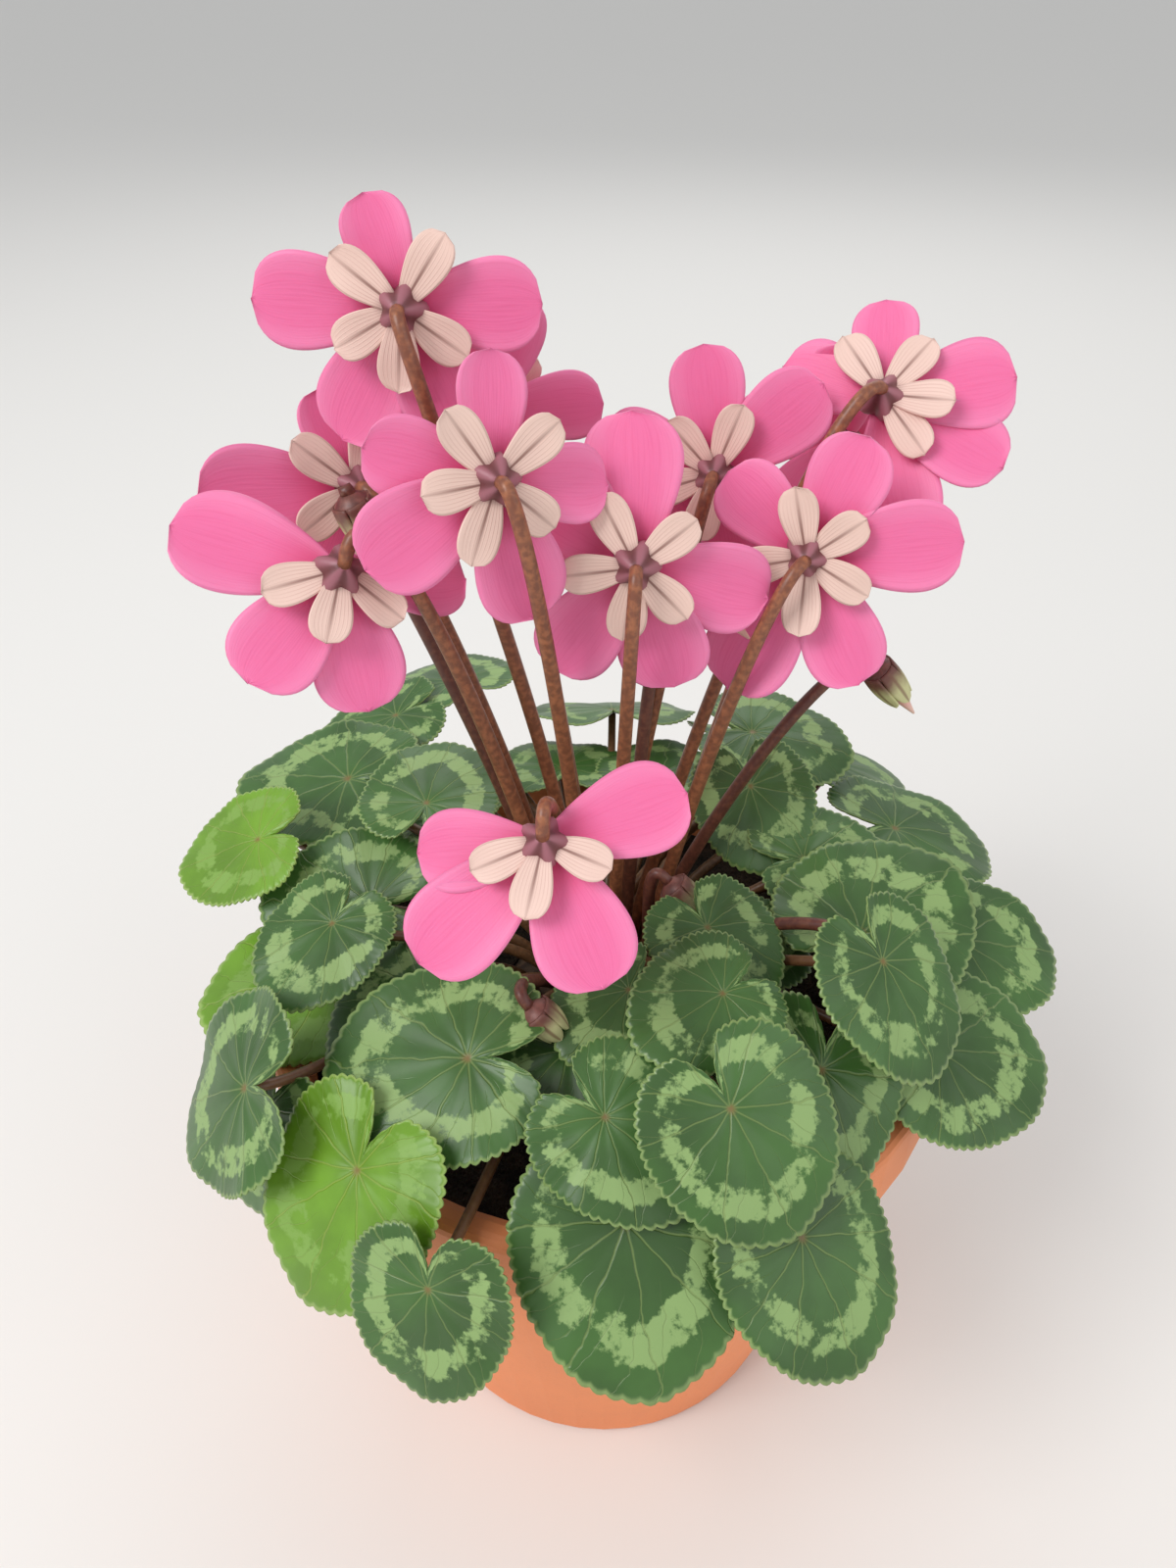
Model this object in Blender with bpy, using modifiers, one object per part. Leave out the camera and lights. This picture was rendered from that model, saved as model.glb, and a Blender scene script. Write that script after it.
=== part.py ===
"""Potted cyclamen: terracotta pot, potting mix, tuber, leaves, flower stems, flower heads and buds.

The pot stands on z = 0 with its axis on Z. The side the plant is seen from faces -Y.
"""

import math

import bmesh
import bpy
import numpy as np
from mathutils import Vector
from mathutils.bvhtree import BVHTree

MM = 0.001

# Pot, in millimetres
RIM_RADIUS = 75.0
RIM_TOP = 118.6
RIM_LIP = 2.2
COLLAR_BOTTOM = 102.4
NECK_RADIUS = 70.3
BASE_RADIUS = 48.6
BASE_ROUND = 3.0
MOUTH_RADIUS = 68.6
SHOULDER_RADIUS = 66.0
FLOOR_RADIUS = 43.5
FLOOR_TOP = 8.0
POT_STEPS = 48
DRAIN_RADIUS = 4.5
DRAIN_REACH = 24.0
DRAIN_COUNT = 3

# Potting mix and tuber
GAP = 0.3
MIX_TOP = 106.0
TUBER_RADIUS = 24.0
TUBER_HALF_HEIGHT = 11.0
TUBER_CENTRE = 104.0
TUBER_STEPS = 24

# Rings on the crown of the tuber that the stems grow from: radius and least spacing along it
CROWN_RINGS = {"a": (3.4, 4.2), "b": (7.8, 4.2), "c": (12.2, 4.2), "d": (16.6, 4.2)}

# Leaves
BLADE_THICKNESS = 0.9
PETIOLE_RADIUS = 1.2
PETIOLE_STEPS = 5
# Outline of the heart-shaped blade: angle from the tip, radius as a share of the length
BLADE_OUTLINE = ((0, 1.0), (24, 0.93), (50, 0.82), (78, 0.74), (106, 0.68), (134, 0.62), (160, 0.5), (180, 0.13))
BLADE_RINGS = (0.55, 1.0)

# Flowers
STEM_RADIUS = 1.25
STEM_STEPS = 9
PETAL_THICKNESS = 0.8
CORE_RADIUS = 3.6
SEPAL_LENGTH = 11.5
# Widest half angle of a petal and of a sepal, and the radius of the notch between two
PETAL_SPREAD = 29.0
SEPAL_SPREAD = 24.0
NOTCH_RADIUS = 4.6
# A gap between petals this wide, in degrees, has no sepal and lets the stem through
WIDE_GAP = 120

# Leaf: ring, azimuth, reach and height of the junction, length, heading of the tip,
# azimuth the blade faces, its tilt from level, and droop of the tip as a share of the length
LEAVES = {
    "leaf_01": ("c", -117, 56, 142, 28, 178, -110, 24, 0.10),
    "leaf_02": ("c", -159, 58, 148, 20, -125, -120, 22, 0.06),
    "leaf_03": ("b", 26, 26, 158, 20, -80, -90, 22, 0.06),
    "leaf_04": ("c", -20, 54, 146, 34, 40, -70, 12, 0.05),
    "leaf_05": ("b", -65, 48, 152, 19, -145, -80, 20, 0.06),
    "leaf_06": ("b", -80, 36, 145, 18, -130, -90, 20, 0.08),
    "leaf_07": ("c", -91, 62, 144, 22, -45, -90, 34, 0.15),
    "leaf_08": ("d", -88, 73, 130, 37, -80, -86, 58, 0.12),
    "leaf_09": ("d", -124, 76, 131, 27, -128, -124, 48, 0.14),
    "leaf_10": ("d", -136, 80, 124, 27, -140, -136, 66, 0.12),
    "leaf_11": ("d", -110, 80, 124, 28, -108, -110, 74, 0.06),
    "leaf_13": ("c", 174, 76, 146, 21, 188, -135, 28, 0.12),
    "leaf_14": ("c", 156, 68, 145, 30, 165, -140, 14, 0.10),
    "leaf_15": ("c", 132, 78, 146, 24, 200, -160, 16, 0.10),
    "leaf_16": ("c", 118, 84, 146, 26, 120, 140, 12, 0.14),
    "leaf_17": ("b", 165, 40, 154, 22, 82, -85, 8, 0.08),
    "leaf_18": ("c", -178, 50, 142, 25, 176, -100, 18, 0.10),
    "leaf_19": ("d", -164, 60, 135, 30, -172, -125, 28, 0.12),
    "leaf_20": ("d", -150, 78, 124, 32, -178, -150, 46, 0.15),
    "leaf_21": ("d", -51, 62, 137, 26, -88, -58, 42, 0.12),
    "leaf_22": ("d", -58, 72, 130, 34, -56, -58, 60, 0.10),
    "leaf_23": ("c", -77, 68, 138, 25, -62, -76, 46, 0.14),
    "leaf_24": ("d", -36, 62, 141, 26, -50, -45, 38, 0.15),
    "leaf_25": ("d", -29, 74, 128, 34, 2, -55, 30, 0.12),
    "leaf_26": ("d", -6, 76, 134, 30, 4, -50, 24, 0.12),
    "leaf_27": ("d", 20, 72, 139, 32, 12, -10, 16, 0.14),
    "leaf_28": ("d", 42, 78, 138, 26, 24, 30, 20, 0.16),
    "leaf_29": ("c", 52, 58, 149, 25, -12, -70, 10, 0.10),
    "leaf_30": ("d", 88, 70, 140, 32, 92, 90, 22, 0.16),
}

# Flower: ring, hub position, azimuth and height angle of the stem side, angle round the hub that
# the stem bends over to and how far, forward angle of the petals, and each petal's angle and length
FLOWERS = {
    "01": ("a", (-33, 0, 258), -92, 8, 270, 0, 4, ((12, 22), (118, 17), (187, 24), (250, 24), (300, 20))),
    "02": ("b", (-23, 20, 236), 90, 15, 270, 0, 4, ((20, 22), (95, 24), (165, 22), (235, 20), (305, 20))),
    "03": ("a", (-18, -20, 238), -70, 15, 300, 0, 6, ((72, 19), (150, 20), (197, 24), (272, 24), (340, 20))),
    "04": ("b", (-44, 2, 228), -60, 20, 270, 0, 6, ((85, 17), (163, 26), (230, 20), (290, 20), (20, 18))),
    "05": ("b", (-43, -22, 224), -60, 38, 70, 20, 8, ((350, 24), (146, 26), (215, 22), (268, 22))),
    "06": ("a", (4, -14, 221), -92, 12, 270, 0, 4, ((83, 24), (134, 25), (225, 25), (278, 24), (333, 24))),
    "07": ("a", (19, 14, 226), -100, 10, 270, 0, 4, ((52, 24), (110, 22), (180, 22), (240, 22), (300, 22))),
    "08": ("b", (34, -4, 218), -105, 10, 200, 4, 4, ((22, 26), (80, 22), (150, 20), (256, 28), (309, 25))),
    "09": ("b", (48, 12, 242), -110, 40, 200, 6, 6, ((30, 23), (110, 20), (175, 20), (300, 26), (350, 24))),
    "10": ("b", (-11, -44, 187), -92, 50, 90, 14, 8, ((12, 25), (175, 21), (214, 28), (284, 25))),
}

# Bud: ring, hub position, azimuth and height angle of the stem side, length
BUDS = {
    "bud_01": ("b", (-37, -8, 230), 160, 70, 10),
    "bud_02": ("a", (12, 2, 209), 150, 35, 11),
    "bud_03": ("b", (52, 6, 190), 160, 50, 12),
    "bud_04": ("b", (50, -32, 150), 170, 40, 11),
}

TERRACOTTA = (0.72, 0.22, 0.085)
MIX_BROWN = (0.035, 0.024, 0.017)
TUBER_BROWN = (0.13, 0.08, 0.05)
LEAF_GREEN = (0.075, 0.17, 0.05)
FRESH_GREEN = (0.16, 0.30, 0.03)
STEM_BROWN = (0.17, 0.065, 0.035)
PETAL_PINK = (0.86, 0.16, 0.36)
BUD_CREAM = (0.50, 0.42, 0.22)
FRESH_LEAVES = ("leaf_09", "leaf_13", "leaf_19")


def clear_scene():
    for item in list(bpy.data.objects):
        bpy.data.objects.remove(item)


def collection(name, hidden=False):
    made = bpy.data.collections.new(name)
    made.hide_render = hidden
    bpy.context.scene.collection.children.link(made)
    return made


def material(name, colour, roughness):
    made = bpy.data.materials.new(name)
    made.use_nodes = True
    shader = made.node_tree.nodes["Principled BSDF"]
    shader.inputs["Base Color"].default_value = (*colour, 1.0)
    shader.inputs["Roughness"].default_value = roughness
    shader.inputs["Metallic"].default_value = 0.0
    made.diffuse_color = (*colour, 1.0)
    return made


def unit(vector):
    return vector / np.linalg.norm(vector)


def direction(azimuth, height=0.0):
    """Unit vector at an azimuth from +X and a height angle above level, both in degrees."""
    a, h = math.radians(azimuth), math.radians(height)
    return np.array([math.cos(a) * math.cos(h), math.sin(a) * math.cos(h), math.sin(h)])


def smooth_object(name, vertices, faces, group, look):
    """A closed mesh object from points in millimetres, with its faces turned outwards."""
    mesh = bpy.data.meshes.new(name)
    mesh.from_pydata([Vector(v) * MM for v in vertices], [], faces)
    shape = bmesh.new()
    shape.from_mesh(mesh)
    bmesh.ops.recalc_face_normals(shape, faces=shape.faces)
    shape.to_mesh(mesh)
    shape.free()
    mesh.shade_smooth()
    mesh.set_sharp_from_angle(angle=math.radians(50))
    made = bpy.data.objects.new(name, mesh)
    made.data.materials.append(look)
    group.objects.link(made)
    return made


def lathe(name, profile, steps, group, look):
    """A body of revolution: profile in millimetres, ending on the axis, turned by a Screw."""
    mesh = bpy.data.meshes.new(name)
    points = [(r * MM, 0.0, z * MM) for r, z in profile]
    mesh.from_pydata(points, [(i, i + 1) for i in range(len(points) - 1)], [])
    made = bpy.data.objects.new(name, mesh)
    made.data.materials.append(look)
    group.objects.link(made)
    screw = made.modifiers.new("turn", "SCREW")
    screw.axis = "Z"
    screw.steps = screw.render_steps = steps
    screw.use_merge_vertices = True
    screw.merge_threshold = 0.00005
    screw.use_smooth_shade = True
    return made


def arc(centre, radius, start, end, steps):
    """Points of an arc in the profile plane, angles in degrees."""
    return [
        (centre[0] + radius * math.cos(math.radians(a)), centre[1] + radius * math.sin(math.radians(a)))
        for a in np.linspace(start, end, steps)
    ]


def make_pot(group, cutters, look):
    mouth = (MOUTH_RADIUS + RIM_LIP, RIM_TOP - RIM_LIP)
    edge = (RIM_RADIUS - RIM_LIP, RIM_TOP - RIM_LIP)
    base = (BASE_RADIUS - BASE_ROUND, BASE_ROUND)
    profile = [(0.0, FLOOR_TOP), (FLOOR_RADIUS - 2.0, FLOOR_TOP), (FLOOR_RADIUS, FLOOR_TOP + 2.0)]
    profile += [(SHOULDER_RADIUS, COLLAR_BOTTOM - 2.0)]
    profile += arc(mouth, RIM_LIP, 180, 90, 3) + arc(edge, RIM_LIP, 90, 0, 4)
    profile += arc((RIM_RADIUS - 1.2, COLLAR_BOTTOM + 1.2), 1.2, 0, -90, 3)
    profile += [(NECK_RADIUS, COLLAR_BOTTOM)] + arc(base, BASE_ROUND, -12, -90, 4) + [(0.0, 0.0)]
    pot = lathe("pot", profile, POT_STEPS, group, look)
    for index in range(DRAIN_COUNT):
        angle = 2 * math.pi * index / DRAIN_COUNT
        bpy.ops.mesh.primitive_cylinder_add(
            vertices=16,
            radius=DRAIN_RADIUS * MM,
            depth=0.03,
            location=(DRAIN_REACH * MM * math.cos(angle), DRAIN_REACH * MM * math.sin(angle), 0.005),
        )
        cutter = bpy.context.object
        cutter.name = f"drain_cutter_{index + 1}"
        for holder in list(cutter.users_collection):
            holder.objects.unlink(cutter)
        cutters.objects.link(cutter)
        cutter.display_type = "WIRE"
        cutter.hide_render = True
        cut = pot.modifiers.new(f"drain_{index + 1}", "BOOLEAN")
        cut.operation = "DIFFERENCE"
        cut.solver = "EXACT"
        cut.object = cutter
    return pot


def tuber_profile(swell, start, end, steps):
    """Points of the tuber outline, swollen by a margin, by the angle from its top in degrees."""
    return [
        (
            (TUBER_RADIUS + swell) * math.sin(math.radians(a)),
            TUBER_CENTRE + (TUBER_HALF_HEIGHT + swell) * math.cos(math.radians(a)),
        )
        for a in np.linspace(start, end, steps)
    ]


def make_mix(group, look):
    meet = math.degrees(math.acos((MIX_TOP - TUBER_CENTRE) / (TUBER_HALF_HEIGHT + GAP)))
    bowl = tuber_profile(GAP, 180, meet, 7)
    wall_top = SHOULDER_RADIUS - GAP
    profile = [(0.0, bowl[0][1])] + bowl[1:]
    profile += [(45.0, MIX_TOP + 1.0), (wall_top, MIX_TOP - 1.0), (wall_top, COLLAR_BOTTOM - 2.0)]
    profile += [(FLOOR_RADIUS - GAP, FLOOR_TOP + 2.3), (FLOOR_RADIUS - 2.2, FLOOR_TOP + GAP), (0.0, FLOOR_TOP + GAP)]
    return lathe("potting_mix", profile, POT_STEPS, group, look)


def make_tuber(group, look):
    profile = tuber_profile(0.0, 0, 180, 11)
    profile[0], profile[-1] = (0.0, profile[0][1]), (0.0, profile[-1][1])
    return lathe("tuber", profile, TUBER_STEPS, group, look)


def crown_point(reach, azimuth):
    """Point just clear of the tuber crown and the outward normal there."""
    angle = math.asin(reach / TUBER_RADIUS)
    rim = direction(azimuth)
    point = rim * reach + np.array([0, 0, TUBER_CENTRE + TUBER_HALF_HEIGHT * math.cos(angle)])
    normal = unit(rim * math.sin(angle) / TUBER_RADIUS + np.array([0, 0, math.cos(angle) / TUBER_HALF_HEIGHT]))
    return point + normal * GAP, normal


def spread_on_rings(wanted):
    """Azimuth on its crown ring for every stem, as near its own azimuth as the spacing allows."""
    placed = {}
    for ring, (reach, spacing) in CROWN_RINGS.items():
        members = sorted((azimuth % 360, name) for name, (on, azimuth) in wanted.items() if on == ring)
        angles = np.array([azimuth for azimuth, _ in members], float)
        least = min(math.degrees(spacing / reach), 360 / max(len(members), 1))
        for _ in range(400):
            for index in range(len(angles)):
                following = (index + 1) % len(angles)
                gap = (angles[following] - angles[index]) % 360
                if following != index and gap < least:
                    angles[index] -= (least - gap) / 2
                    angles[following] += (least - gap) / 2
        placed.update({name: (reach, angle) for (_, name), angle in zip(members, angles)})
    return placed


def bezier(start, leave, arrive, end, steps):
    t = np.linspace(0, 1, steps + 1)[:, None]
    return (1 - t) ** 3 * start + 3 * t * (1 - t) ** 2 * leave + 3 * t**2 * (1 - t) * arrive + t**3 * end


def rings_along(path, radii, sides, first, last):
    """Vertex rings square to a path, carried along it without twist."""
    tangents = np.gradient(path, axis=0)
    tangents[0], tangents[-1] = first, last
    side = unit(np.cross(unit(tangents[0]), [0.31, 0.95, 0.05]))
    rings = []
    for point, tangent, radius in zip(path, tangents, radii):
        tangent = unit(tangent)
        side = unit(side - tangent * side.dot(tangent))
        other = np.cross(tangent, side)
        turns = 2 * np.pi * np.arange(sides) / sides
        rings.append(point + radius * (np.outer(np.cos(turns), side) + np.outer(np.sin(turns), other)))
    return rings


def tube(path, radii, sides, first, last):
    """Closed tube mesh along a path: vertices and faces."""
    rings = rings_along(path, radii, sides, first, last)
    vertices = np.concatenate(rings)
    faces = [tuple(range(sides))[::-1], tuple(range(len(vertices) - sides, len(vertices)))]
    for ring in range(len(rings) - 1):
        for index in range(sides):
            after = (index + 1) % sides
            low, high = ring * sides, (ring + 1) * sides
            faces.append((low + index, low + after, high + after, high + index))
    return vertices, faces


def blade_frame(heading, face, tilt):
    """Tip direction, left direction and normal of a blade."""
    normal = direction(face, 90 - tilt)
    tip = direction(heading)
    tip = unit(tip - normal * tip.dot(normal))
    return tip, np.cross(normal, tip), normal


def leaf_mesh(leaf, crown, margin=0.0):
    """Vertices and faces of one leaf: blade, junction and petiole in one closed skin."""
    _, azimuth, reach, height, length, heading, face, tilt, droop = leaf
    junction = direction(azimuth) * reach + np.array([0, 0, height])
    tip, left, normal = blade_frame(heading, face, tilt)
    angles = [a for a, _ in BLADE_OUTLINE[:-1]] + [180] + [-a for a, _ in BLADE_OUTLINE[-2:0:-1]]
    shares = [r for _, r in BLADE_OUTLINE[:-1]] + [BLADE_OUTLINE[-1][1]] + [r for _, r in BLADE_OUTLINE[-2:0:-1]]
    count = len(angles)
    thick = BLADE_THICKNESS + margin

    def at(angle, radius, lift):
        along = radius * math.cos(math.radians(angle))
        across = radius * math.sin(math.radians(angle))
        sag = droop * max(along, 0) ** 2 / length + 0.10 * across**2 / length
        return junction + tip * along + left * across + normal * (lift - sag)

    rings = [[min(2.2, share * length * 0.8) for share in shares]]
    rings += [[ring * share * length for share in shares] for ring in BLADE_RINGS]
    vertices = [junction + normal * thick / 2]
    faces = []
    for lift in (thick / 2, -thick / 2):
        for ring in rings:
            vertices += [at(angle, radius, lift) for angle, radius in zip(angles, ring)]
    top, under = 1, 1 + count * len(rings)
    for index in range(count):
        after = (index + 1) % count
        faces.append((0, top + index, top + after))
        for ring in range(len(rings) - 1):
            for start, turn in ((top, 1), (under, -1)):
                low, high = start + ring * count, start + (ring + 1) * count
                faces.append((low + index, high + index, high + after, low + after)[::turn])
        outer_top, outer_under = top + (len(rings) - 1) * count, under + (len(rings) - 1) * count
        faces.append((outer_top + index, outer_under + index, outer_under + after, outer_top + after))
    sides = count // 2
    start, rise = crown
    arrival = unit(normal * 0.9 + direction(azimuth) * 0.45)
    end = junction - normal * (thick / 2 + 1.6)
    span = np.linalg.norm(end - start)
    path = bezier(start, start + unit(rise + [0, 0, 0.6]) * span * 0.42, end - arrival * span * 0.33, end, PETIOLE_STEPS)
    radii = [PETIOLE_RADIUS + margin / 2] * len(path)
    petiole = rings_along(path, radii, sides, rise, unit(normal))
    # The ring at the junction starts at the tip so that it meets the blade without a twist.
    first = max(range(sides), key=lambda k: (petiole[-1][k] - end).dot(tip))
    around = np.cross(petiole[-1][(first + 1) % sides] - end, petiole[-1][first] - end).dot(normal) < 0
    order = [(first + (k if around else -k)) % sides for k in range(sides)]
    base = len(vertices)
    for ring in petiole:
        vertices += [ring[k] for k in order]
    join = base + PETIOLE_STEPS * sides
    for k in range(sides):
        after = (k + 1) % sides
        inner = [under + (2 * k + step) % count for step in range(3)]
        faces.append((inner[0], inner[1], join + k))
        faces.append((inner[1], inner[2], join + after))
        faces.append((inner[1], join + after, join + k))
        for ring in range(PETIOLE_STEPS):
            low, high = base + ring * sides, base + (ring + 1) * sides
            faces.append((high + k, high + after, low + after, low + k))
    faces.append(tuple(base + k for k in range(sides)))
    return vertices, faces


def head_frame(back):
    """Right, up and stem directions of a flower or bud, seen from its stem side."""
    side = unit(np.cross([0, 0, 1.0], back))
    return side, np.cross(back, side), back


def stem_path(crown, hub, back, hook, bend=0.0, over=0.0):
    """Path of a flower stem from the crown to the back of its flower, bent over to one side."""
    start, rise = crown
    end = hub + back * hook
    span = np.linalg.norm(end - start)
    lift = unit(rise * 0.5 + unit(end - start) + [0, 0, 0.6])
    side, other, _ = head_frame(back)
    aside = side * math.cos(math.radians(bend)) + other * math.sin(math.radians(bend))
    sweep = back * (9.0 + hook) + aside * over + np.array([0, 0, 2.0])
    return bezier(start, start + lift * span * 0.45, end + sweep, end, STEM_STEPS)


def stem_mesh(path, rise, back, margin=0.0):
    return tube(path, [STEM_RADIUS + margin / 2] * len(path), 6, rise, -back)


def star_rays(petals, spread):
    """Rays of a star of petals, as angle and radius: four to a petal and one or two to a gap."""
    petals = sorted((angle % 360, length) for angle, length in petals)
    rays = []
    for index, (angle, length) in enumerate(petals):
        before = (angle - petals[index - 1][0]) % 360
        after = (petals[(index + 1) % len(petals)][0] - angle) % 360
        low, high = min(spread, before / 2 - 4), min(spread, after / 2 - 4)
        rays += [(angle - low, length * 0.86), (angle - low * 0.35, length)]
        rays += [(angle + high * 0.35, length), (angle + high, length * 0.86)]
        if after > 2 * spread + 24:
            rays += [(angle + high + 8, NOTCH_RADIUS), (angle + after - spread - 8, NOTCH_RADIUS)]
        else:
            rays.append((angle + after / 2, NOTCH_RADIUS))
    return rays


def star(rays, forward, offset, frame, hub):
    """Closed plate of petals round the hub: a star in polar form with a shallow forward cone."""
    side, other, back = frame
    slope = math.tan(math.radians(forward))
    rings = [[1.6] * len(rays), [0.6 * radius for _, radius in rays], [radius for _, radius in rays]]
    vertices, faces = [], []
    for lift in (PETAL_THICKNESS / 2, -PETAL_THICKNESS / 2):
        vertices.append(hub + back * (offset + lift))
        for ring in rings:
            for (angle, _), radius in zip(rays, ring):
                turned = math.radians(angle)
                spoke = side * math.cos(turned) + other * math.sin(turned)
                vertices.append(hub + spoke * radius + back * (offset + lift - slope * radius))
    total = len(rays)
    under = 1 + len(rings) * total
    for index in range(total):
        after = (index + 1) % total
        for start, turned in ((0, 1), (under, -1)):
            faces.append((start, start + 1 + index, start + 1 + after)[::turned])
            for ring in range(len(rings) - 1):
                low, high = start + 1 + ring * total, start + 1 + (ring + 1) * total
                faces.append((low + index, high + index, high + after, low + after)[::turned])
        high, low = 1 + (len(rings) - 1) * total, under + 1 + (len(rings) - 1) * total
        faces.append((high + index, low + index, low + after, high + after))
    return vertices, faces


def head_parts(flower):
    """Meshes of one flower head: core, petals and sepals."""
    _, hub, azimuth, height, _, _, forward, petals = flower
    hub = np.array(hub, float)
    back = direction(azimuth, height)
    frame = head_frame(back)
    radii = (1.0, 2.6, CORE_RADIUS, 3.2, 2.0)
    path = np.array([hub + back * along for along in (-4.2, -2.6, 0.4, 2.6, 3.6)])
    core = tube(path, radii, 10, back, back)
    plate = star(star_rays(petals, PETAL_SPREAD), forward, -1.4, frame, hub)
    turns = sorted(angle % 360 for angle, _ in petals)
    gaps = [(low, (high - low) % 360) for low, high in zip(turns, turns[1:] + turns[:1])]
    sepals = star_rays([(low + gap / 2, SEPAL_LENGTH) for low, gap in gaps if gap < WIDE_GAP], SEPAL_SPREAD)
    return core, plate, star(sepals, forward, 1.3, frame, hub)


def make_head(name, parts, group, cutters, look):
    core, petals, sepals = parts
    made = smooth_object(name, *core, group, look)
    for label, part in (("petals", petals), ("sepals", sepals)):
        helper = smooth_object(f"{name}_{label}", *part, cutters, look)
        helper.display_type = "WIRE"
        helper.hide_render = True
        join = made.modifiers.new(label, "BOOLEAN")
        join.operation = "UNION"
        join.solver = "EXACT"
        join.object = helper
    return made


def bud_mesh(bud, crown, margin=0.0):
    """Stem and closed bud as one tube whose radius swells at the calyx and ends in a point."""
    _, hub, azimuth, height, length = bud
    hub = np.array(hub, float)
    back = direction(azimuth, height)
    path = stem_path(crown, hub, back, 1.0)
    body = [hub - back * length * share for share in (0.05, 0.22, 0.45, 0.7, 1.0)]
    widths = [2.3, 3.4, 3.2, 2.2, 0.5]
    path = np.concatenate([path, body])
    radii = [STEM_RADIUS] * (STEM_STEPS + 1) + widths
    return tube(path, [radius + margin / 2 for radius in radii], 7, crown[1], -back)


# Small changes to a bud's place, nearest first: depth towards +Y, sideways, turn of its hook
BUD_SHIFTS = sorted(
    (
        (depth, aside, turn)
        for depth in (0, 4, -4, 8, -8, 12, -12)
        for aside in (0, 3, -3, 6, -6)
        for turn in (0, 30, -30, 60, -60)
    ),
    key=lambda s: abs(s[0]) + abs(s[1]) * 1.5 + abs(s[2]) * 0.2,
)


def settle_bud(bud, crown, placed):
    """The nearest place for a bud where it clears everything placed before it."""
    ring, hub, azimuth, height, length = bud
    for depth, aside, turn in BUD_SHIFTS:
        moved = (ring, (hub[0] + aside, hub[1] + depth, hub[2] - depth * 0.7), azimuth + turn, height, length)
        candidate = tree([bud_mesh(moved, crown, margin=0.5)])
        if not any(candidate.overlap(other) for other in placed.values()):
            return moved
    raise RuntimeError("no clear place for a bud")


def tree(parts):
    """Search tree over one or several meshes."""
    vertices, faces = [], []
    for points, polygons in parts:
        start = len(vertices)
        vertices += [Vector(point) for point in points]
        faces += [tuple(start + index for index in polygon) for polygon in polygons]
    return BVHTree.FromPolygons(vertices, faces)


def object_tree(item):
    """Search tree of an object as its modifiers leave it, in millimetres."""
    graph = bpy.context.evaluated_depsgraph_get()
    mesh = item.evaluated_get(graph).to_mesh()
    vertices = [item.matrix_world @ v.co / MM for v in mesh.vertices]
    return BVHTree.FromPolygons(vertices, [tuple(p.vertices) for p in mesh.polygons])


# Small changes to a leaf's place, nearest first: height, reach, tilt, azimuth
SHIFTS = sorted(
    (
        (rise, out, lean, swing)
        for rise in (0, -3, 3, -6, 6, -9, 9, 12)
        for out in (0, 3, -3, 6, 9)
        for lean in (0, -8, 8, 16, -16)
        for swing in (0, 4, -4, 8, -8)
    ),
    key=lambda s: abs(s[0]) + abs(s[1]) * 1.1 + abs(s[2]) * 0.35 + abs(s[3]) * 0.9 + (s[0] > 0) * 0.1,
)


def shifted(leaf, shift):
    ring, azimuth, reach, height, length, heading, face, tilt, droop = leaf
    rise, out, lean, swing = shift
    return (ring, azimuth + swing, reach + out, height + rise, length, heading, face, tilt + lean, droop)


def settle(leaf, crown, placed):
    """The nearest place for a leaf where it clears everything placed before it."""
    for shift in SHIFTS:
        moved = shifted(leaf, shift)
        candidate = tree([leaf_mesh(moved, crown, margin=0.5)])
        if not any(candidate.overlap(other) for other in placed.values()):
            return moved
    raise RuntimeError("no clear place for a leaf")


def flower_parts(flower, crown, margin=0.0):
    """Stem mesh and head meshes of one flower."""
    back = direction(flower[2], flower[3])
    path = stem_path(crown, np.array(flower[1], float), back, 3.6 + GAP, *flower[4:6])
    return stem_mesh(path, crown[1], back, margin), head_parts(flower)


# Small changes to a flower's place, nearest first: depth towards +Y, drop, turn, forward angle
FLOWER_SHIFTS = sorted(
    (
        (depth, drop, turn, lean)
        for depth in (0, 4, -4, 8, -8, 12, -12)
        for drop in (0, 3, -3)
        for turn in (0, 10, -10)
        for lean in (0, 8, -8)
    ),
    key=lambda s: abs(s[0]) + abs(s[1]) * 1.5 + abs(s[2]) * 0.5 + abs(s[3]) * 0.4,
)


def settle_flower(flower, crown, placed):
    """The nearest place for a flower where its stem and head clear everything placed before."""
    ring, hub, azimuth, height, bend, over, forward, petals = flower
    for depth, drop, turn, lean in FLOWER_SHIFTS:
        place = (hub[0], hub[1] + depth, hub[2] - drop - depth * 0.7)
        turned = tuple((angle + turn, length) for angle, length in petals)
        moved = (ring, place, azimuth, height, bend, over, forward + lean, turned)
        stem, head = flower_parts(moved, crown, margin=0.5)
        candidates = tree([stem]), tree(head)
        if candidates[0].overlap(candidates[1]):
            continue
        if not any(c.overlap(other) for c in candidates for other in placed.values()):
            return moved
    raise RuntimeError("no clear place for a flower")


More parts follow.
